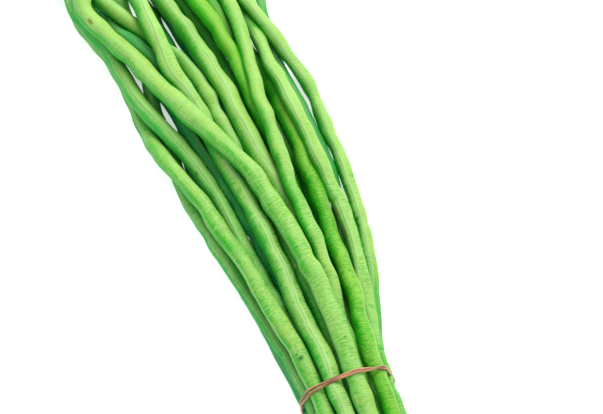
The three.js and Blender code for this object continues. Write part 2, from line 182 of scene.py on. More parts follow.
class Signal:
    """A socket's value in an expression, which takes numbers and other signals."""

    def __init__(self, sheet: "Sheet", socket: bpy.types.NodeSocket) -> None:
        """Wrap a socket.

        Args:
            sheet: The node sheet that it is on.
            socket: The output socket.
        """
        self.sheet = sheet
        self.socket = socket

    def _maths(self, operation: str, *values: "Value") -> "Signal":
        """A Math node on some values."""
        made = self.sheet.add("ShaderNodeMath", {"operation": operation}, dict(enumerate(values)))
        return Signal(self.sheet, made.outputs[0])

    def __add__(self, other: "Value") -> "Signal":
        """This and another."""
        return self._maths("ADD", self, other)

    def __radd__(self, other: float) -> "Signal":
        """A number and this."""
        return self._maths("ADD", other, self)

    def __sub__(self, other: "Value") -> "Signal":
        """This less another."""
        return self._maths("SUBTRACT", self, other)

    def __rsub__(self, other: float) -> "Signal":
        """A number less this."""
        return self._maths("SUBTRACT", other, self)

    def __mul__(self, other: "Value") -> "Signal":
        """This times another."""
        return self._maths("MULTIPLY", self, other)

    def __rmul__(self, other: float) -> "Signal":
        """A number times this."""
        return self._maths("MULTIPLY", other, self)

    def __abs__(self) -> "Signal":
        """This without its sign."""
        return self._maths("ABSOLUTE", self)

    def over(self, limit: float) -> "Signal":
        """1 where this is over a limit, and 0 elsewhere."""
        return self._maths("GREATER_THAN", self, limit)

    def between(self, low: float, high: float) -> "Signal":
        """This eased from 0 at low to 1 at high.

        Args:
            low: Where it is 0.
            high: Where it is 1; less than low to fall instead of rise.

        Returns:
            The eased share.
        """
        made = self.sheet.add(
            "ShaderNodeMapRange",
            {"interpolation_type": "SMOOTHSTEP"},
            {"Value": self, "From Min": min(low, high), "From Max": max(low, high),
             "To Min": 0.0 if low < high else 1.0, "To Max": 1.0 if low < high else 0.0},
        )
        return Signal(self.sheet, made.outputs[0])

    def hill(self, width: float) -> "Signal":
        """1 where this is 0, falling to 0 at a width on both sides."""
        return abs(self).between(width, 0.0)


Value = Union[float, Signal]


class Sheet:
    """The node sheet of one material."""

    def __init__(self, name: str) -> None:
        """Start a material with only its shader and output.

        Args:
            name: The material's name.
        """
        self.material = bpy.data.materials.new(name)
        self.material.use_nodes = True
        self.tree = self.material.node_tree
        self.tree.nodes.clear()
        self.shader = self.add("ShaderNodeBsdfPrincipled", {}, {})
        self.add("ShaderNodeOutputMaterial", {}, {"Surface": self.shader.outputs[0]})

    def add(self, kind: str, settings: dict[str, Any], sockets: dict[Union[str, int], Any]) -> bpy.types.Node:
        """A node of a type, with its settings and then its sockets' values or links.

        Args:
            kind: The node's type.
            settings: Properties of the node by name, such as a Math node's operation.
            sockets: Values, signals or sockets by input name or number.

        Returns:
            The node.
        """
        node = self.tree.nodes.new(kind)
        for key, value in settings.items():
            setattr(node, key, value)
        self.feed(node, sockets)
        return node

    def feed(self, node: bpy.types.Node, sockets: dict[Union[str, int], Any]) -> None:
        """Set or link a node's sockets.

        Args:
            node: The node.
            sockets: Values, colours, signals or sockets by input name or number.
        """
        for key, value in sockets.items():
            target = node.inputs[key]
            if isinstance(value, Signal):
                value = value.socket
            if isinstance(value, bpy.types.NodeSocket):
                self.tree.links.new(value, target)
            elif isinstance(value, tuple) and target.type == "RGBA":
                target.default_value = (*value, 1.0)
            else:
                target.default_value = value

    def mix(self, share: Value, first: Any, second: Any) -> bpy.types.NodeSocket:
        """A colour between two.

        Args:
            share: 0 for the first, 1 for the second.
            first: A colour or a socket.
            second: A colour or a socket.

        Returns:
            The mixed colour's socket.
        """
        node = self.add("ShaderNodeMix", {"data_type": "RGBA"}, {0: share, 6: first, 7: second})
        return node.outputs[2]

    def stored(self, name: str) -> bpy.types.Node:
        """The node that reads a stored attribute."""
        return self.add("ShaderNodeAttribute", {"attribute_name": name}, {})

    def stretched(self, vector: Any, scale: tuple[float, float, float]) -> bpy.types.NodeSocket:
        """A vector times a scale along each axis."""
        node = self.add("ShaderNodeVectorMath", {"operation": "MULTIPLY"}, {0: vector, 1: scale})
        return node.outputs[0]

    def noise(
        self, vector: Any, detail: float = 2.0, roughness: float = 0.5, distortion: float = 0.0,
    ) -> Signal:
        """Cloud noise from 0 to 1 on a vector, one cloud to a unit.

        Args:
            vector: Where it is read.
            detail: How many finer layers it has.
            roughness: How strong the finer layers are.
            distortion: How much it is stirred.

        Returns:
            The noise.
        """
        node = self.add("ShaderNodeTexNoise", {"noise_dimensions": "3D"}, {
            "Vector": vector, "Scale": 1.0, "Detail": detail, "Roughness": roughness,
            "Distortion": distortion,
        })
        return Signal(self, node.outputs[0])

    def raised(self, height: Signal) -> None:
        """Raise the surface by a height in metres, as light sees it."""
        bump = self.add("ShaderNodeBump", {}, {"Strength": 1.0, "Distance": 1.0, "Height": height})
        self.tree.links.new(bump.outputs[0], self.shader.inputs["Normal"])

    def finish(self, values: dict[str, Any]) -> bpy.types.Material:
        """Set the shader's own sockets.

        Args:
            values: Numbers, colours, signals or sockets by the shader's input name.

        Returns:
            The finished material.
        """
        self.feed(self.shader, values)
        return self.material


# Finishes


@dataclass(frozen=True)
class PodSkin:
    """The skin of a fresh pod: painted light on top, painted shade in its folds, below and by other pods,
    with a seam and a few specks.

    Attributes:
        name: The material's name.
        crest: Its colour on top, as painted light and in random paler patches.
        warm: The yellower colour of patches on top.
        flank: Its colour on the sides, as painted shade and in random darker patches.
        deep: The colour of the painted shade in folds, below the pod and beside and under other pods.
        seam: The pale band along the seam.
        line: The thin dark line along the seam.
        folds: How deep its cross folds are.
        specks: How many specks it has.
        warmth: How strong the yellower patches are.
        gloss: Its mean roughness.
    """

    name: str
    crest: Colour = from_screen(144, 185, 97)
    warm: Colour = from_screen(148, 187, 66)
    flank: Colour = from_screen(63, 161, 38)
    deep: Colour = from_screen(3, 145, 25)
    seam: Colour = from_screen(146, 188, 118)
    line: Colour = from_screen(70, 122, 40)
    folds: float = 1.0
    specks: float = 1.0
    warmth: float = 0.4
    gloss: float = 0.44

    def make(self) -> bpy.types.Material:
        """The material.

        Returns:
            The material of this skin.
        """
        sheet = Sheet(self.name)
        pod = sheet.stored("straight").outputs["Vector"]
        ends = sheet.add("ShaderNodeSeparateXYZ", {}, {0: sheet.stored("ends").outputs["Vector"]})
        stem, tip, ribbed = (Signal(sheet, ends.outputs[k]) for k in range(3))
        form = sheet.add("ShaderNodeSeparateXYZ", {}, {0: sheet.stored("form").outputs["Vector"]})
        fold, seam, lift = (Signal(sheet, form.outputs[k]) for k in range(3))
        gap_shade_and_marks = sheet.add("ShaderNodeSeparateXYZ", {}, {0: sheet.stored("gap_shade_and_marks").outputs["Vector"]})
        gap, bruise, nick = (Signal(sheet, gap_shade_and_marks.outputs[k]) for k in range(3))
        cover = Signal(sheet, sheet.stored("cover").outputs["Fac"])

        slow = sheet.noise(sheet.stretched(pod, (110.0, 110.0, 30.0)), 2.0)
        patch = sheet.noise(sheet.stretched(pod, (190.0, 190.0, 90.0)), 3.0, 0.55)
        fine = sheet.noise(sheet.stretched(pod, (210.0, 210.0, 1250.0)), 2.0, 0.55, 0.3)
        grain = sheet.noise(sheet.stretched(pod, (1300.0, 1300.0, 900.0)), 3.0, 0.6)
        streak = sheet.noise(sheet.stretched(pod, (800.0, 800.0, 20.0)), 3.0, 0.6)
        ribs = fine.between(0.44, 0.62) * patch.between(0.36, 0.62) * abs(seam).between(0.6, 2.2)
        ribs = ribs * ribbed * self.folds
        tooth = (fine - 0.5) * (ribbed * self.folds + 0.25)

        # Painted light and random tone: the side facing the painted light side takes the crest colour and the
        # far side the flank colour, broken by random patches.
        tone = (lift - 0.55) * 1.7 + tooth * 2.7 + (slow - 0.5) * 2.3 + (patch - 0.5) * 1.3
        tone = tone + (grain - 0.5) * 0.5 + (streak - 0.5) * 0.8 + 0.5
        sunny = (slow * 0.5 + patch * 0.5).between(0.46, 0.62) * self.warmth
        skin = sheet.mix(tone.between(-0.2, 1.1), self.flank, sheet.mix(sunny, self.crest, self.warm))
        # Painted shade on the underside, away from the painted light side.
        under = (lift + tooth * 2.3 + (patch - 0.5) * 1.1 + (slow - 0.5) * 1.3).between(0.5, -0.8)
        skin = sheet.mix(under * 0.78, skin, self.deep)
        # Painted shade beside other pods, deepest where the skins nearly touch.
        close = (gap + (patch - 0.5) * 1.6 + tooth * 1.3).between(2.2, 0.3)
        skin = sheet.mix(close * 0.75, skin, self.deep)
        # Painted shade under other pods that lie higher.
        covered = (cover + (patch - 0.5) * 0.4 - tooth * 1.6).between(0.05, 1.0)
        skin = sheet.mix(covered * 0.66, skin, self.deep)
        # Painted shade in the cross folds and in the ribs' grooves.
        skin = sheet.mix(fold * 0.5, skin, self.deep)
        skin = sheet.mix(ribs * 0.66, skin, self.deep)
        skin = sheet.mix(seam.hill(1.8) * (slow.between(0.25, 0.6) * 0.5 + 0.25), skin, self.seam)
        broken = patch.between(0.36, 0.64)
        skin = sheet.mix(seam.hill(0.42) * (broken * 0.45 + 0.35), skin, self.line)

        cells = sheet.add(
            "ShaderNodeTexVoronoi", {"voronoi_dimensions": "3D", "feature": "F1"},
            {"Vector": sheet.stretched(pod, (130.0, 130.0, 100.0)), "Scale": 1.0},
        )
        picked = sheet.add("ShaderNodeSeparateColor", {}, {0: cells.outputs["Color"]})
        chosen = Signal(sheet, picked.outputs[0]).over(1.0 - 0.03 * self.specks)
        ragged = (grain - 0.5) * 0.1
        speck = (Signal(sheet, cells.outputs["Distance"]) + ragged).between(0.09, 0.03) * chosen
        skin = sheet.mix(speck * 0.85, skin, from_screen(32, 64, 23))
        worn = (bruise + (grain - 0.5) * 0.9 + (streak - 0.5) * 0.6).between(0.45, 0.75)
        skin = sheet.mix(worn * 0.8, skin, from_screen(102, 86, 47))
        torn = (nick + (grain - 0.5) * 1.1 + (fine - 0.5) * 0.7).between(0.4, 0.9)
        skin = sheet.mix(torn * 0.85, skin, from_screen(22, 100, 44))

        faded = (tip + (patch - 0.5) * 20.0).between(45.0, 6.0)
        skin = sheet.mix(faded * 0.4, skin, from_screen(132, 165, 69))
        beak = (tip + (grain - 0.5) * 3.0).between(7.5, 3.0)
        skin = sheet.mix(beak * 0.9, skin, from_screen(107, 80, 42))
        pale = (stem + (patch - 0.5) * 8.0).between(24.0, 5.5)
        skin = sheet.mix(pale * 0.7, skin, from_screen(156, 182, 104))
        scar = (abs(stem - 5.2 + (patch - 0.5) * 2.4)).between(1.5, 0.3) * patch.between(0.4, 0.56)
        skin = sheet.mix(scar * grain.between(0.36, 0.52) * 0.9, skin, from_screen(92, 64, 34))
        stub = (stem + (grain - 0.5) * 0.8 + (patch - 0.5) * 0.7).between(4.75, 4.25)
        dry = sheet.mix(streak.between(0.35, 0.65), from_screen(178, 166, 116), from_screen(112, 88, 54))
        skin = sheet.mix(stub, skin, dry)

        relief = (grain - 0.5) * 0.03 - ribs * 0.17 + (streak - 0.5) * 0.05
        relief = relief - seam.hill(0.3) * broken * 0.06 + scar * (grain - 0.5) * 0.5 - worn * 0.04
        sheet.raised(relief * MM)
        rough = (patch - 0.5) * 0.16 + (grain - 0.5) * 0.12 + self.gloss + stub * 0.3 + worn * 0.15
        return sheet.finish({
            "Base Color": skin, "Roughness": rough, "IOR": 1.4, "Specular IOR Level": 0.18,
            "Subsurface Weight": 0.1, "Subsurface Radius": (0.35, 1.0, 0.2), "Subsurface Scale": 1.4 * MM,
        })


@dataclass(frozen=True)
class BandRubber:
    """Tan-pink rubber with fine lines along it."""

    name: str = "band_rubber"
    light: Colour = from_screen(196, 148, 106)
    deep: Colour = from_screen(104, 58, 38)

    def make(self) -> bpy.types.Material:
        """The material.

        Returns:
            The material of the rubber.
        """
        sheet = Sheet(self.name)
        strand = sheet.stored("straight").outputs["Vector"]
        lines = sheet.noise(sheet.stretched(strand, (2300.0, 2300.0, 90.0)), 2.0, 0.6)
        cloud = sheet.noise(sheet.stretched(strand, (500.0, 500.0, 160.0)), 2.0)
        tone = ((lines - 0.5) * 2.6 + (cloud - 0.5) * 1.2 + 0.5).between(0.0, 1.0)
        sheet.raised(((lines - 0.5) * 0.2 + (cloud - 0.5) * 0.06) * MM)
        return sheet.finish({
            "Base Color": sheet.mix(tone, self.deep, self.light), "Roughness": (cloud - 0.5) * 0.2 + 0.5,
            "IOR": 1.5, "Specular IOR Level": 0.4,
        })


class Finish(Enum):
    """The skins that the pods have."""

    BRIGHT = PodSkin("skin_bright", folds=0.8)
    RIBBED = PodSkin(
        "skin_ribbed", crest=from_screen(147, 188, 104), flank=from_screen(75, 170, 54),
        deep=from_screen(4, 142, 36), folds=1.0,
    )
    VIVID = PodSkin(
        "skin_vivid", crest=from_screen(120, 174, 58), flank=from_screen(53, 159, 18),
        deep=from_screen(3, 140, 7), folds=1.2,
    )
    SOFT = PodSkin(
        "skin_soft", crest=from_screen(130, 181, 92), flank=from_screen(63, 163, 56),
        deep=from_screen(4, 142, 44), seam=from_screen(127, 172, 102), folds=0.7, warmth=0.15,
    )
    TEAL = PodSkin(
        "skin_teal", crest=from_screen(76, 154, 76), flank=from_screen(36, 148, 66),
        deep=from_screen(8, 132, 56), seam=from_screen(108, 162, 104), folds=1.1, warmth=0.2,
    )
    SHADY = PodSkin(
        "skin_shady", crest=from_screen(86, 160, 58), flank=from_screen(34, 147, 38),
        deep=from_screen(2, 123, 25), seam=from_screen(88, 142, 66), folds=1.2, warmth=0.3,
    )


# Pods


class MarkKind(Enum):
    """What a mark on a pod is."""

    BRUISE = 0
    NICK = 1


@dataclass
class Course:
    """Where a pod's middle runs, and its thickness, read from its solid.

    Attributes:
        middle: Points of the middle line, in mm.
        radius: The solid's radius at each point, in mm.
    """

    middle: np.ndarray
    radius: np.ndarray

    @classmethod
    def of_solid(cls, solid: bpy.types.Object, spacing: float = 1.0, smoothing: float = 4.5) -> "Course":
        """Slice a solid across the bunch and join the slices' middles.

        Each triangle that a level crosses gives a short edge of the slice. Half the sum of the edges'
        cross products is the slice's area, and the cross products weight the slice's middle. An
        eight-sided slice of radius r has an area of 2 root 2 r squared.

        Args:
            solid: The pod's solid.
            spacing: The distance between slices, in mm.
            smoothing: The spread of the smoothing along the pod, in mm.

        Returns:
            The pod's course.
        """
        mesh = solid.data
        mesh.calc_loop_triangles()
        points = np.empty(len(mesh.vertices) * 3)
        mesh.vertices.foreach_get("co", points)
        points = points.reshape(-1, 3) / MM
        corners = np.empty(len(mesh.loop_triangles) * 3, np.int32)
        mesh.loop_triangles.foreach_get("vertices", corners)
        tips = points[corners.reshape(-1, 3)]
        low, high = points[:, 0].min(), points[:, 0].max()
        levels = np.arange(low + 1.3, high - 1.0, spacing)
        start, end = tips, np.roll(tips, -1, axis=1)
        below = start[None, ..., 0] < levels[:, None, None]
        below_end = end[None, ..., 0] < levels[:, None, None]
        rising, falling = below & ~below_end, ~below & below_end
        run = end[..., 0] - start[..., 0]
        share = (levels[:, None, None] - start[None, ..., 0]) / np.where(run == 0, 1.0, run)[None]
        crossing = start[None, ..., 1:] + share[..., None] * (end - start)[None, ..., 1:]
        one = (crossing * rising[..., None]).sum(2)
        two = (crossing * falling[..., None]).sum(2)
        cross = one[..., 0] * two[..., 1] - one[..., 1] * two[..., 0]
        area = cross.sum(1) / 2
        centre = ((one + two) * cross[..., None]).sum(1) / (6 * area[:, None])
        middle = np.column_stack([levels, centre])
        middle = np.vstack([
            middle[0] - (middle[4] - middle[0]) / 4 / spacing * (levels[0] - low),
            middle,
            middle[-1] + (middle[-1] - middle[-5]) / 4 / spacing * (high - levels[-1]),
        ])
        middle = smooth(middle, smoothing / spacing)
        ahead = np.gradient(middle, axis=0)
        lean = np.abs(ahead[:, 0]) / np.linalg.norm(ahead, axis=1)
        area = np.concatenate([area[:1], area, area[-1:]])
        return cls(middle, np.sqrt(np.abs(area) * lean / (2 * math.sqrt(2))))


def smooth(values: np.ndarray, spread: float) -> np.ndarray:
    """Each row replaced by a bell-weighted mean of its neighbours; the ends keep their slope.

    Args:
        values: Rows of numbers.
        spread: The bell's spread, in rows.

    Returns:
        The smoothed rows.
    """
    reach = int(3 * spread) + 1
    bell = np.exp(-0.5 * (np.arange(-reach, reach + 1) / spread) ** 2)
    bell /= bell.sum()
    before = 2 * values[0] - values[1:reach + 1][::-1]
    after = 2 * values[-1] - values[-reach - 1:-1][::-1]
    padded = np.concatenate([before, values, after])
    if padded.ndim == 1:
        return np.convolve(padded, bell, "valid")
    return np.column_stack([np.convolve(column, bell, "valid") for column in padded.T])


@dataclass(frozen=True)
class Mark:
    """A bruise or a nick on a pod.

    Attributes:
        kind: Which of the two.
        level: Where it is along the bunch, in mm.
        turn: Where it lies round the pod, in degrees from the top towards the bunch's right.
        length: How long it is, in mm.
        width: How wide it is, in mm.
    """

    kind: MarkKind
    level: float
    turn: float
    length: float
    width: float


@dataclass
class Pod:
    """One pod, from its stalk stub to its beak.

    Attributes:
        node: The solid it stands for.
        finish: Its skin.
        seam_turn: Where its seam lies round it, in degrees from the top towards the bunch's right.
        wavy: How strongly it swells over its beans.
        seed: What its irregularities are drawn from.
        marks: Its bruises and nicks.
        nudges: Levels along the bunch and how far the pod leans to the bunch's left there, in mm.
        sides: Points round it.
        step: The distance between its rings, in mm.
        stub: How far the stalk stub reaches, in mm.
        shoulder: The length over which it rounds out to its full thickness, in mm.
        stalk: The shoulder's radius where the stub starts, in mm.
        neck: Where its body starts, in mm from the stem end.
        rib: The mean distance between its ribs, in mm.
        beak: The beak's length, in mm.
        cut: How much of the stub is broken off, in mm.
        course: Where it runs.
    """

    node: str
    finish: Finish
    seam_turn: float
    wavy: float = 1.0
    seed: int = 0
    marks: tuple[Mark, ...] = ()
    nudges: tuple[tuple[float, float], ...] = ((-400.0, 0.0), (400.0, 0.0))
    sides: int = 28
    step: float = 0.48
    stub: float = 4.5
    shoulder: float = 7.0
    stalk: float = 1.75
    neck: float = 14.0
    rib: float = 1.8
    beak: float = 4.0
    cut: float = field(init=False)
    course: Course = field(init=False)

    def stations(self, length: float) -> np.ndarray:
        """Distances of the rings from the stem end, closer together at both ends.

        Args:
            length: The pod's length, in mm.

        Returns:
            The distances, in mm.
        """
        near = self.cut + np.array([0.05, 0.2, 0.4, 0.7, 1.0])
        stem = np.arange(self.cut + 1.3, self.neck, 0.28)
        body = np.arange(self.neck, length - 12.0, self.step)
        tip = np.arange(length - 12.0, length - 0.6, 0.4)
        return np.concatenate([near, stem, body, tip, [length - 0.35, length - 0.12]])

    def wander(self, along: np.ndarray, length: float) -> np.ndarray:
        """Small kinks: random sideways and upward shifts on lattices of 12 and 27 mm, none at the ends.

        Args:
            along: Distances from the stem end, in mm.
            length: The pod's length, in mm.

        Returns:
            The shift of each ring, in mm.
        """
        rng = np.random.default_rng(500 + self.seed)
        calm = 0.32 * self.wavy * ease((along - 20.0) / 30.0) * ease((length - along) / 30.0)
        spot = np.zeros((1, 1))
        shift = [
            sum(ripple(rng, along[:, None], spot, lattice, 1)[:, 0] for lattice in (12.0, 27.0))
            for _ in range(2)
        ]
        return np.column_stack([np.zeros_like(along), calm * shift[0], 0.6 * calm * shift[1]])

    def relief(
        self, along: np.ndarray, around: np.ndarray, radius: np.ndarray, length: float, ribbed: np.ndarray,
    ) -> tuple[np.ndarray, np.ndarray, np.ndarray]:
        """The pod's radius on the grid.

        The solid's radius swells over each bean by a raised sine whose phase wanders, is a little oval
        with an axis that wanders, and has random lumps, low ripples across it and a raised seam. The
        stub is narrow, with a knobbly cut end, and a ragged collar stands where the flower was.

        Args:
            along: Distances from the stem end, as a column, in mm.
            around: Angles, as a row, in radians.
            radius: The solid's radius at each ring, as a column, in mm.
            length: The pod's length, in mm.
            ribbed: How deep the ripples are at each ring, as a column.

        Returns:
            The radius, the folds and the angle from the seam, each on the grid.
        """
        rng = np.random.default_rng(1000 + self.seed)
        none = np.zeros_like(around)
        drift = np.radians(self.seam_turn) + 0.22 * ripple(rng, along, none, 45.0, 1)
        drift = drift + 0.05 * ripple(rng, along, none, 9.0, 1)
        off = (around - drift + math.pi) % TURN - math.pi
        wander = 1.3 * ripple(rng, along, none, 24.0, 1)
        strength = 0.55 + 0.45 * np.tanh(ripple(rng, along, none, 35.0, 1))
        beans = np.sin(along * TURN / (15.5 + 2.5 * rng.random()) + wander)
        swell = beans * strength
        inside = ease((along - self.neck) / 20.0) * ease((length - along - 10.0) / 35.0)
        flat = 0.4 + 0.6 * np.abs(np.cos(off))
        out = radius * (1.0 + 0.034 * self.wavy * inside * swell * flat)
        out = out + 0.24 * inside * ripple(rng, along, none, 9.0, 1)
        oval = off - 0.5 * ripple(rng, along, none, 50.0, 1)
        out = out * (1.0 + 0.035 * np.cos(2.0 * oval) + 0.014 * inside * np.cos(4.0 * oval))
        out = out + 0.17 * inside * ripple(rng, along, around, 8.0, 6)
        phase = along * TURN / self.rib + 3.4 * ripple(rng, along, around, 6.0, 5)
        phase = phase + 2.0 * ripple(rng, along, around, 2.2, 9)
        groove = (0.5 - 0.5 * np.sin(phase)) ** 2.5
        patch = 0.42 * ripple(rng, along, around, 14.0, 4) + 0.3 * ripple(rng, along, around, 3.2, 9)
        patch = ease(0.62 + patch)
        fold = groove * patch * ease((np.abs(off) * radius - 0.7) / 1.8) * self.finish.value.folds * inside
        fold = fold * ribbed
        out = out - 0.15 * fold
        out = out + 0.12 * inside * np.exp(-(off * radius / 0.9) ** 2)
        out = out - 0.05 * inside * np.exp(-((np.abs(off) - math.pi) * radius / 0.7) ** 2)
        # The stem end.
        full = radius[along[:, 0] > self.neck][:3].mean()
        rise = np.clip((along - self.stub) / self.shoulder, 0.0, 1.0)
        bulge = np.sqrt(rise * (2.0 - rise)) * (1.0 - 0.02 * np.sin(8 * rise))
        crown = self.stalk + (full - self.stalk) * bulge
        knob = 1.45 + 0.2 * ripple(rng, along, around, 1.6, 5) - 0.3 * np.exp(-((along - 2.9) / 1.0) ** 2)
        rim = 0.75 + 0.25 * np.cos(5.0 * around + rng.random() * TURN)
        ragged = 1.0 + 0.5 * ripple(rng, along, around, 0.8, 9)
        collar = 0.4 * rim * np.exp(-((along - 4.7) / 0.45) ** 2) * ragged
        stem = np.where(along < self.stub, knob, np.maximum(crown, knob)) + collar
        stem = stem * np.sqrt(np.clip((along - self.cut) / 0.6, 0.02, 1.0))
        share = ease((along - 12.0) / 4.0)
        out = stem * (1.0 - share) + out * share
        # The beak.
        end = length - along
        point = 0.38 + 0.5 * np.sqrt(np.clip(end / self.beak, 0.0, 1.0))
        point = point + 0.06 * ripple(rng, along, around, 1.5, 5)
        point = point * np.sqrt(np.clip(end / 0.5, 0.05, 1.0))
        share = ease((end - self.beak) / 6.0)
        out = point * (1.0 - share) + out * share
        return out, fold, off

    def read(self) -> None:
        """Read the pod's course from its solid, and choose how short its stub is broken off."""
        self.course = Course.of_solid(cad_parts[self.node])
        self.cut = 2.9 * np.random.default_rng(50 + self.seed).random() ** 1.3

    def space(self, points: np.ndarray, others: Sequence[Course]) -> tuple[np.ndarray, np.ndarray]:
        """How far points are from the nearest other pod's skin, and how much the other pods cover them.

        At each point's level, the distance is the distance across the bunch to the other's middle, times
        the cosine of its slant, less its radius. Each pod that lies higher covers a point the more, the
        nearer overhead it is.

        Args:
            points: Points in mm, in any grid.
            others: The other pods' courses.

        Returns:
            The distances, in mm, up to 9, and the cover, from 0 to about 1.
        """
        least = np.full(points.shape[:-1], 9.0)
        cover = np.zeros(points.shape[:-1])
        level = points[..., 0]
        for other in others:
            line = other.middle
            ahead = np.gradient(line, axis=0)
            slant = np.abs(ahead[:, 0]) / np.linalg.norm(ahead, axis=1)
            rows = (line[:, 1], line[:, 2], other.radius, slant)
            y, z, radius, lean = (np.interp(level, line[:, 0], row) for row in rows)
            apart = np.hypot(points[..., 1] - y, points[..., 2] - z) * lean - radius
            beyond = np.maximum(line[0, 0] - level, level - line[-1, 0])
            least = np.minimum(least, apart + 2.0 * np.maximum(beyond, 0.0))
            above = z - points[..., 2]
            aside = np.abs(points[..., 1] - y) / (radius + np.maximum(above, 0.1))
            cover += ease(1.15 - aside) * ease((above - 1.0) / 5.0) * (beyond < 0.0)
        return least, np.minimum(cover, 1.5)

    def build(self, others: Sequence[Course]) -> bpy.types.Object:
        """The pod's mesh, dressed and in place of its solid.

        Args:
            others: The other pods' courses.

        Returns:
            The pod's object.
        """
        middle = self.course.middle
        gone = np.concatenate([[0.0], np.cumsum(np.linalg.norm(np.diff(middle, axis=0), axis=1))])
        length = gone[-1]
        along = self.stations(length)
        place = np.column_stack([np.interp(along, gone, middle[:, k]) for k in range(3)])
        place = place + self.wander(along, length)
        levels, leans = np.array(self.nudges).T
        place[:, 1] += smooth(np.interp(place[:, 0], levels, leans), 8.0)
        radius = np.interp(along, gone, smooth(self.course.radius, 6.0))
        way = np.gradient(smooth(middle, 3.0), axis=0)
        ahead = np.column_stack([np.interp(along, gone, way[:, k]) for k in range(3)])
        ahead /= np.linalg.norm(ahead, axis=1, keepdims=True)
        side = np.cross(ahead, [0.0, 0.0, 1.0])
        side /= np.linalg.norm(side, axis=1, keepdims=True)
        rise = np.cross(side, ahead)
        around = np.arange(self.sides) / self.sides * TURN
        ribbed = 0.4 + 0.6 * ease((-10.0 - place[:, :1]) / 70.0)
        ribbed = ribbed * (0.3 + 0.7 * ease((along[:, None] - 20.0) / 50.0))
        reach, fold, off = self.relief(
            along[:, None], around[None, :], radius[:, None] * SKIN_SHARE, length, ribbed,
        )
        spoke = np.cos(around)[None, :, None] * rise[:, None, :]
        spoke = spoke + np.sin(around)[None, :, None] * side[:, None, :]
        rings = place[:, None, :] + reach[..., None] * spoke
        rings[..., 2] = np.maximum(rings[..., 2], 0.0)
        poles = (place[0] - 0.05 * ahead[0], place[-1] + 0.1 * ahead[-1])
        mesh = closed_grid(self.node + "_skin", rings * MM, (poles[0] * MM, poles[1] * MM))
        shift = 0.61 * (self.seed + 1)
        straight = np.stack([
            np.cos(around)[None, :] * radius[:, None] * MM, np.sin(around)[None, :] * radius[:, None] * MM,
            (along * MM + shift)[:, None] * np.ones(self.sides)[None, :],
        ], -1).reshape(-1, 3)
        ends = np.stack([
            along[:, None] * np.ones(self.sides), (length - along)[:, None] * np.ones(self.sides),
            ribbed * np.ones(self.sides),
        ], -1).reshape(-1, 3)
        # How far each point faces the painted light side, for the painted light and painted shade in its
        # skin.
        lift = spoke @ PAINTED_LIGHT_SIDE
        form = np.stack([fold, off * radius[:, None], lift], -1).reshape(-1, 3)
        marked = [np.zeros_like(off), np.zeros_like(off)]
        for mark in self.marks:
            far = (place[:, :1] - mark.level) / mark.length * 2.0
            turned = (around[None, :] - math.radians(mark.turn) + math.pi) % TURN - math.pi
            wide = turned * radius[:, None] / mark.width * 2.0
            spot = np.exp(-0.7 * (far ** 2 + wide ** 2))
            marked[mark.kind.value] = np.maximum(marked[mark.kind.value], spot)
        # The gap and the cover set the painted shade beside and under the other pods; the marks are real
        # bruises and nicks.
        gap, cover = self.space(rings, others)
        gap_shade_and_marks = np.stack([gap, *marked], -1).reshape(-1, 3)
        note(mesh, "cover", np.concatenate([cover.ravel(), cover[0, :1], cover[-1, :1]]))
        note(mesh, "straight", np.vstack([straight, straight[:1], straight[-1:]]))
        note(mesh, "ends", np.vstack([ends, [[0.0, length, 0.0]], [[length, 0.0, 0.0]]]))
        note(mesh, "form", np.vstack([form, [[0.0, 3.0, 0.0]], [[0.0, 3.0, 0.0]]]))
        note(mesh, "gap_shade_and_marks", np.vstack([gap_shade_and_marks, [[3.0, 0.0, 0.0]], [[3.0, 0.0, 0.0]]]))
        piece = bpy.data.objects.new(self.node + "_skin", mesh)
        bpy.context.scene.collection.objects.link(piece)
        mesh.materials.append(SKINS.get(self.finish))
        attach(piece, "root")
        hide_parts(self.node)
        return piece


class Skins:
    """The pods' materials, each made once."""

    def __init__(self) -> None:
        """Start with none."""
        self.made: dict[Finish, bpy.types.Material] = {}

    def get(self, finish: Finish) -> bpy.types.Material:
        """The material of a finish.

        Args:
            finish: The finish.

        Returns:
            Its material.
        """
        if finish not in self.made:
            self.made[finish] = finish.value.make()
        return self.made[finish]


SKINS = Skins()


# The rubber band


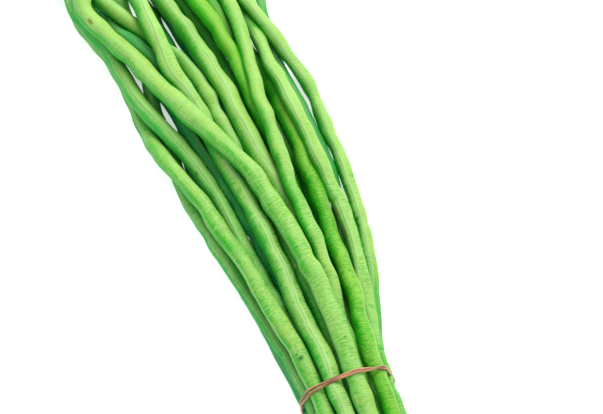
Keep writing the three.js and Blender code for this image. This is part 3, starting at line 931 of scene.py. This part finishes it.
@dataclass
class RubberBand:
    """One loop of rubber wound twice round the bunch.

    Attributes:
        node: The solid it stands for.
        thick: The strand's thickness, in mm.
        apart: Half the distance between the two turns, in mm.
        gap: The clearance from the pods, in mm.
        crossing: Where along a turn its two turns change places, as shares of the turn.
        parting: Where its two turns stand a little apart.
        spread: How much further apart they stand there, in mm.
        rings: Cross-sections in the whole strand.
        sides: Points round each.
        facets: Directions in which the pods' outline is looked for.
    """

    node: str = "rubber_band"
    thick: float = 1.16
    apart: float = 0.59
    gap: float = -0.2
    crossing: tuple[float, float] = (0.86, 0.97)
    parting: float = 0.19
    spread: float = 0.55
    rings: int = 900
    sides: int = 16
    facets: int = 1440

    def outline(self, courses: Sequence[Course], level: float) -> np.ndarray:
        """The pods' outline where the band goes round them.

        In every direction across the bunch, the furthest pod's furthest point is on the outline.

        Args:
            courses: The pods' courses.
            level: The band's place along the bunch, in mm.

        Returns:
            Closely spaced points of the outline, as (y, z) in mm, in order.
        """
        discs = np.vstack([
            np.column_stack([course.middle[near, 1:], course.radius[near]])
            for course in courses
            for near in [np.abs(course.middle[:, 0] - level) < 2.6]
        ])
        turn = -np.arange(self.facets) / self.facets * TURN + 0.5 * math.pi
        face = np.column_stack([np.cos(turn), np.sin(turn)])
        reach = discs[:, :2] @ face.T + discs[:, 2:]
        best = reach.argmax(0)
        edge = discs[best, :2] + face * (discs[best, 2:] + self.gap + self.thick / 2)
        closed = np.vstack([edge, edge[:1]])
        gone = np.concatenate([[0.0], np.cumsum(np.linalg.norm(np.diff(closed, axis=0), axis=1))])
        even = np.linspace(0.0, gone[-1], self.facets // 2 + 1)[:-1]
        return np.column_stack([np.interp(even, gone, closed[:, k]) for k in range(2)])

    def build(self, courses: Sequence[Course]) -> bpy.types.Object:
        """The band's mesh, dressed and in place of its solid.

        A square strand with round edges is carried twice round the outline. The two turns lie side by
        side, and over a short stretch on top each swings over to the other's side, one above the other.

        Args:
            courses: The pods' courses.

        Returns:
            The band's object.
        """
        low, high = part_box(self.node)
        level = (low.x + high.x) / 2 / MM
        outline = self.outline(courses, level)
        share = np.arange(self.rings) / self.rings * 2.0
        spot = (share % 1.0) * len(outline)
        i, f = np.floor(spot).astype(int) % len(outline), (spot % 1.0)[:, None]
        flat = outline[i] * (1 - f) + outline[(i + 1) % len(outline)] * f
        way = np.roll(flat, -6, axis=0) - np.roll(flat, 6, axis=0)
        way /= np.linalg.norm(way, axis=1, keepdims=True)
        out = np.column_stack([-way[:, 1], way[:, 0]])
        centre = outline.mean(0)
        out *= np.sign(((flat - centre) * out).sum(1, keepdims=True))
        swap = ease((share % 1.0 - self.crossing[0]) / (self.crossing[1] - self.crossing[0]))
        swing = math.pi * (np.floor(share) + swap)
        lift = 2.0 * self.apart * np.maximum(0.0, np.sin(swing))
        spread = self.spread * np.exp(-(((share % 1.0) - self.parting) / 0.045) ** 2)
        rng = np.random.default_rng(7)
        wobble = 0.1 * ripple(rng, (share * 130.0)[:, None], np.zeros((1, 1)), 9.0, 1)[:, 0]
        wobble *= np.sin(share * math.pi / 2.0) ** 2
        middle = np.column_stack([
            level + (self.apart + spread) * np.cos(swing) + wobble, flat + out * lift[:, None],
        ])
        ahead = np.roll(middle, -2, axis=0) - np.roll(middle, 2, axis=0)
        ahead /= np.linalg.norm(ahead, axis=1, keepdims=True)
        face = np.column_stack([np.zeros(self.rings), out])
        side = np.cross(ahead, face)
        side /= np.linalg.norm(side, axis=1, keepdims=True)
        face = np.cross(side, ahead)
        around = np.arange(self.sides) / self.sides * TURN
        twist = 0.25 * math.pi * np.sin(share * math.pi * 7.0)[:, None]
        corner = np.abs(np.cos(2.0 * (around[None, :] - twist)))
        reach = self.thick / 2 * (1.0 + 0.06 * (1.0 - corner) - 0.05 * corner)
        spoke = np.cos(around)[None, :, None] * face[:, None, :]
        spoke = spoke - np.sin(around)[None, :, None] * side[:, None, :]
        rings = middle[:, None, :] + reach[..., None] * spoke
        rings[..., 2] = np.maximum(rings[..., 2], 0.0)
        mesh = closed_grid(self.node + "_strand", rings[:, ::-1] * MM, None)
        turned = around[None, ::-1] + 0.5 * share[:, None] * math.pi * 8.0
        straight = np.stack([
            np.cos(turned) * self.thick / 2 * MM, np.sin(turned) * self.thick / 2 * MM,
            0.13 * np.minimum(share, 2.0 - share)[:, None] * np.ones(self.sides)[None, :],
        ], -1).reshape(-1, 3)
        note(mesh, "straight", straight)
        piece = bpy.data.objects.new(self.node + "_strand", mesh)
        bpy.context.scene.collection.objects.link(piece)
        mesh.materials.append(BandRubber().make())
        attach(piece, "root")
        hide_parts(self.node)
        return piece


# The studio


@dataclass
class Studio:
    """A pale floor, soft light and the camera.

    Attributes:
        eye: The camera's place from the middle of the band's box, and its height, in mm.
        heading: The camera's heading from +X, in degrees.
        dip: How far it looks down, in degrees.
        lens: Its focal length for a 36 mm wide sensor.
        floor: The floor's side, in metres.
        sky: The sky's strength.
        key: The lamp's power, in watts.
        glow: The floor's own light.
    """

    eye: tuple[float, float, float] = (-275.2, 118.8, 768.2)
    heading: float = -19.0
    dip: float = 62.0
    lens: float = 98.5
    floor: float = 6.0
    sky: float = 1.0
    key: float = 12.3
    glow: float = 0.52

    def camera(self) -> bpy.types.Object:
        """The camera, placed from the band and made the scene's.

        Returns:
            The camera.
        """
        low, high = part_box("rubber_band")
        data = bpy.data.cameras.new("view")
        data.lens = self.lens
        data.sensor_width = 36.0
        camera = bpy.data.objects.new("view", data)
        turn, fall = math.radians(self.heading), math.radians(self.dip)
        ahead = Vector((math.cos(turn) * math.cos(fall), math.sin(turn) * math.cos(fall), -math.sin(fall)))
        right = Vector((math.sin(turn), -math.cos(turn), 0.0))
        up = right.cross(ahead)
        camera.matrix_world = Matrix((
            (right.x, up.x, -ahead.x, (low.x + high.x) / 2 + self.eye[0] * MM),
            (right.y, up.y, -ahead.y, (low.y + high.y) / 2 + self.eye[1] * MM),
            (right.z, up.z, -ahead.z, self.eye[2] * MM),
            (0.0, 0.0, 0.0, 1.0),
        ))
        bpy.context.scene.collection.objects.link(camera)
        bpy.context.scene.camera = camera
        return camera

    def lamp(self, name: str, place: Vector, size: float, power: float) -> bpy.types.Object:
        """A soft square lamp that faces the bunch.

        Args:
            name: Its name.
            place: Where it hangs, in metres.
            size: Its side, in metres.
            power: Its power, in watts.

        Returns:
            The lamp.
        """
        data = bpy.data.lights.new(name, "AREA")
        data.shape = "SQUARE"
        data.size = size
        data.energy = power
        lamp = bpy.data.objects.new(name, data)
        lamp.location = place
        lamp.rotation_euler = (-place).to_track_quat("-Z", "Y").to_euler()
        bpy.context.scene.collection.objects.link(lamp)
        return lamp

    def build(self) -> None:
        """The floor, the sky, the lamp and the camera."""
        half = self.floor / 2
        mesh = bpy.data.meshes.new("floor")
        corners = [(x * half, y * half, -FLOOR_DROP) for x, y in ((-1, -1), (1, -1), (1, 1), (-1, 1))]
        mesh.from_pydata(corners, [], [(0, 1, 2, 3)])
        floor = bpy.data.objects.new("floor", mesh)
        bpy.context.scene.collection.objects.link(floor)
        sheet = Sheet("floor_paper")
        mesh.materials.append(sheet.finish({
            "Base Color": (0.9, 0.9, 0.9), "Roughness": 0.9, "Emission Color": (1.0, 1.0, 1.0),
            "Emission Strength": self.glow,
        }))
        world = bpy.data.worlds.new("sky")
        bpy.context.scene.world = world
        world.use_nodes = True
        sky = world.node_tree.nodes["Background"]
        sky.inputs["Color"].default_value = (1.0, 1.0, 1.0, 1.0)
        sky.inputs["Strength"].default_value = self.sky
        self.lamp("key", Vector((0.55, -0.45, 0.85)), 0.7, self.key)
        self.camera()
        bpy.context.scene.view_settings.view_transform = "Standard"


PODS = [
    Pod("pod_flank_left", Finish.TEAL, -20.0, 0.8, 1),
    Pod("pod_shoulder_left", Finish.SOFT, -32.0, 0.8, 2),
    Pod("pod_top_left", Finish.BRIGHT, -62.0, 1.0, 3, marks=(
        Mark(MarkKind.NICK, -153.6, -14.0, 3.0, 4.2), Mark(MarkKind.NICK, -151.0, -30.0, 1.6, 1.4),
    )),
    Pod("pod_second_left", Finish.SOFT, -24.0, 1.0, 4, marks=(
        Mark(MarkKind.NICK, -31.6, -38.0, 3.2, 2.0),
    ), nudges=((-110.0, 0.0), (-92.0, -0.7), (-50.0, -0.7), (-30.0, 0.0))),
    Pod("pod_inner_left", Finish.TEAL, 28.0, 1.1, 5,
        nudges=((-110.0, 0.0), (-92.0, 0.7), (-50.0, 0.7), (-30.0, 0.0))),
    Pod("pod_inner_teal", Finish.TEAL, -75.0, 1.0, 6,
        nudges=((-115.0, 0.0), (-90.0, 1.5), (-55.0, 1.5), (-35.0, 0.0))),
    Pod("pod_ribbed", Finish.RIBBED, -2.0, 1.3, 7),
    Pod("pod_crossing", Finish.BRIGHT, 35.0, 1.2, 8, marks=(Mark(MarkKind.BRUISE, -40.0, 20.0, 9.0, 3.0),)),
    Pod("pod_folded", Finish.BRIGHT, -64.0, 1.5, 9, marks=(
        Mark(MarkKind.BRUISE, 68.8, -26.0, 4.5, 2.2), Mark(MarkKind.NICK, -152.0, 14.0, 1.8, 1.3),
    )),
    Pod("pod_stout", Finish.BRIGHT, 6.0, 1.2, 10),
    Pod("pod_under_stout", Finish.TEAL, 20.0, 1.0, 11, step=0.8),
    Pod("pod_under_middle", Finish.SHADY, 80.0, 1.0, 12, step=0.8),
    Pod("pod_shaded", Finish.VIVID, 85.0, 1.2, 13),
    Pod("pod_between", Finish.SHADY, 10.0, 1.0, 14, step=0.8),
    Pod("pod_slim", Finish.BRIGHT, 75.0, 1.1, 15),
    Pod("pod_top_right", Finish.VIVID, 62.0, 1.4, 16,
        nudges=((-120.0, 0.0), (-105.0, -0.7), (-25.0, -0.7), (-5.0, 0.0))),
    Pod("pod_shoulder_right", Finish.BRIGHT, -32.0, 1.1, 17, marks=(
        Mark(MarkKind.BRUISE, -76.0, -62.0, 10.0, 3.2), Mark(MarkKind.BRUISE, -90.0, -58.0, 26.0, 2.2),
        Mark(MarkKind.NICK, -101.0, -56.0, 2.4, 1.4), Mark(MarkKind.NICK, -105.5, -54.0, 2.6, 1.2),
        Mark(MarkKind.NICK, -109.6, -58.0, 2.4, 1.5), Mark(MarkKind.NICK, -74.0, -78.0, 2.4, 1.6),
    ), nudges=((-130.0, 0.0), (-110.0, 0.8), (-20.0, 0.8), (0.0, 0.0))),
    Pod("pod_edge_right", Finish.BRIGHT, -14.0, 1.2, 18),
    Pod("pod_under_right", Finish.TEAL, 0.0, 1.0, 19, step=0.8),
]


def main() -> None:
    """Build the pods, the band and the studio, and report each piece."""
    logging.basicConfig(level=logging.INFO, format="%(name)s: %(message)s")
    for pod in PODS:
        pod.read()
    for pod in PODS:
        piece = pod.build([other.course for other in PODS if other is not pod])
        log.info("%s: %d faces, %s", piece.name, len(piece.data.polygons), pod.finish.name.lower())
    band = RubberBand().build([pod.course for pod in PODS])
    log.info("%s: %d faces", band.name, len(band.data.polygons))
    Studio().build()


if __name__ == "__main__":
    main()
